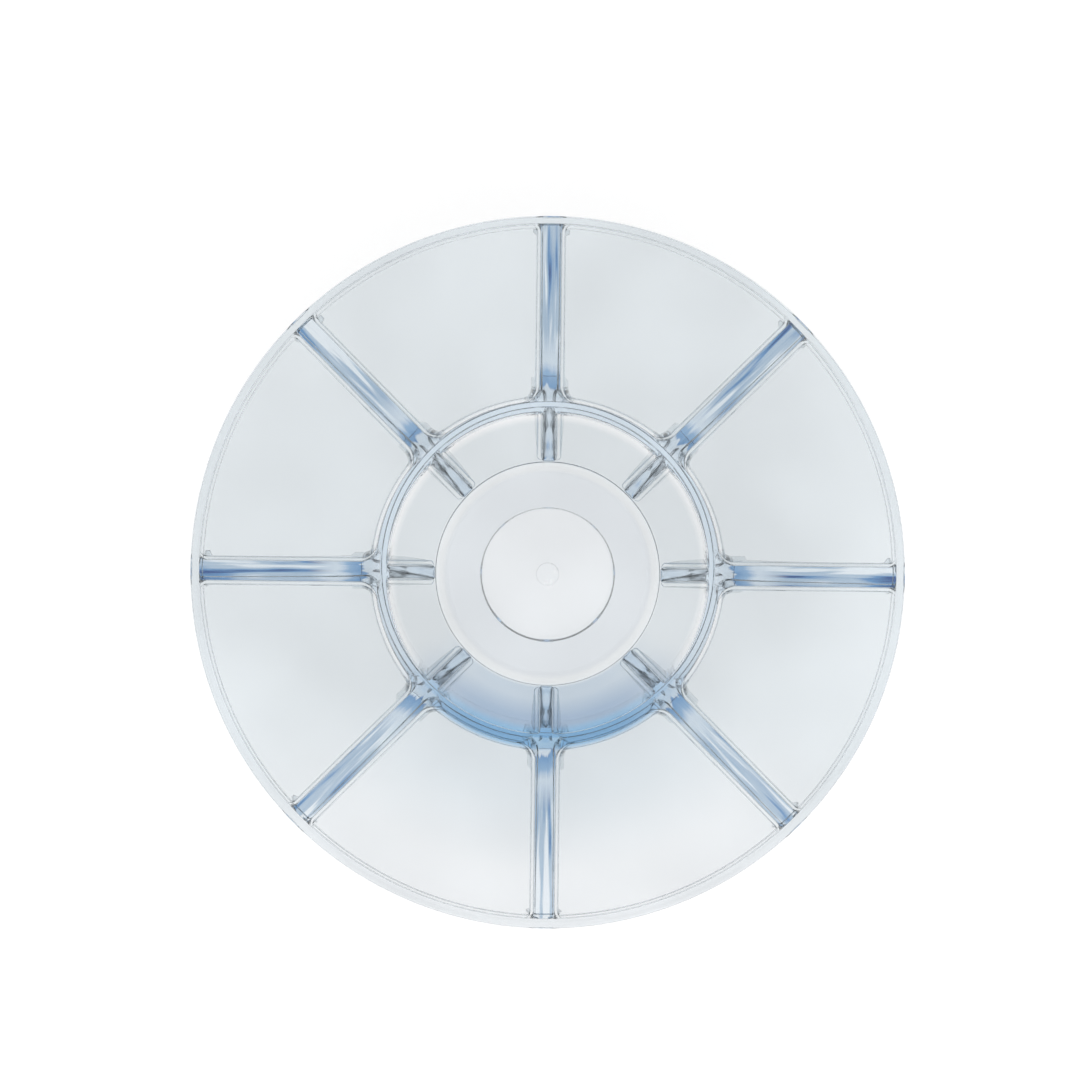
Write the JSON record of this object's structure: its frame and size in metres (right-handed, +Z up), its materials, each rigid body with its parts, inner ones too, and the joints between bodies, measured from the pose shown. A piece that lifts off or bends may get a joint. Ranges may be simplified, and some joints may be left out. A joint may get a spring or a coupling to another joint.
{
  "type": "chair shoe",
  "caption": "Clear moulded disc with a ribbed round socket that fits under a chair leg and spreads its load on soft ground or a delicate floor.",
  "frame": {"origin": "centre of the flat sole, on the surface that the shoe stands on", "axes": "+Z up along the axis of the leg socket, out of its mouth; +X along one radial rib"},
  "size_m": [0.0762, 0.0762, 0.017],
  "materials": {
    "clear_plate": "clear moulded plastic with a slight blue tint, polished",
    "clear_wall": "the same clear plastic, bluer where it is seen through its height",
    "clear_rib": "the same clear plastic, bluer where it is seen through its height"
  },
  "bodies": {
    "root": {"sole_disc": "clear_plate", "edge_rim": "clear_plate", "leg_seat": "clear_plate", "socket_wall": "clear_wall", "radial_rib_1": "clear_rib", "radial_rib_2": "clear_rib", "radial_rib_3": "clear_rib", "radial_rib_4": "clear_rib", "radial_rib_5": "clear_rib", "radial_rib_6": "clear_rib", "radial_rib_7": "clear_rib", "radial_rib_8": "clear_rib", "grip_rib_1": "clear_rib", "grip_rib_2": "clear_rib", "grip_rib_3": "clear_rib", "grip_rib_4": "clear_rib", "grip_rib_5": "clear_rib", "grip_rib_6": "clear_rib", "grip_rib_7": "clear_rib", "grip_rib_8": "clear_rib"}
  },
  "joints": []
}
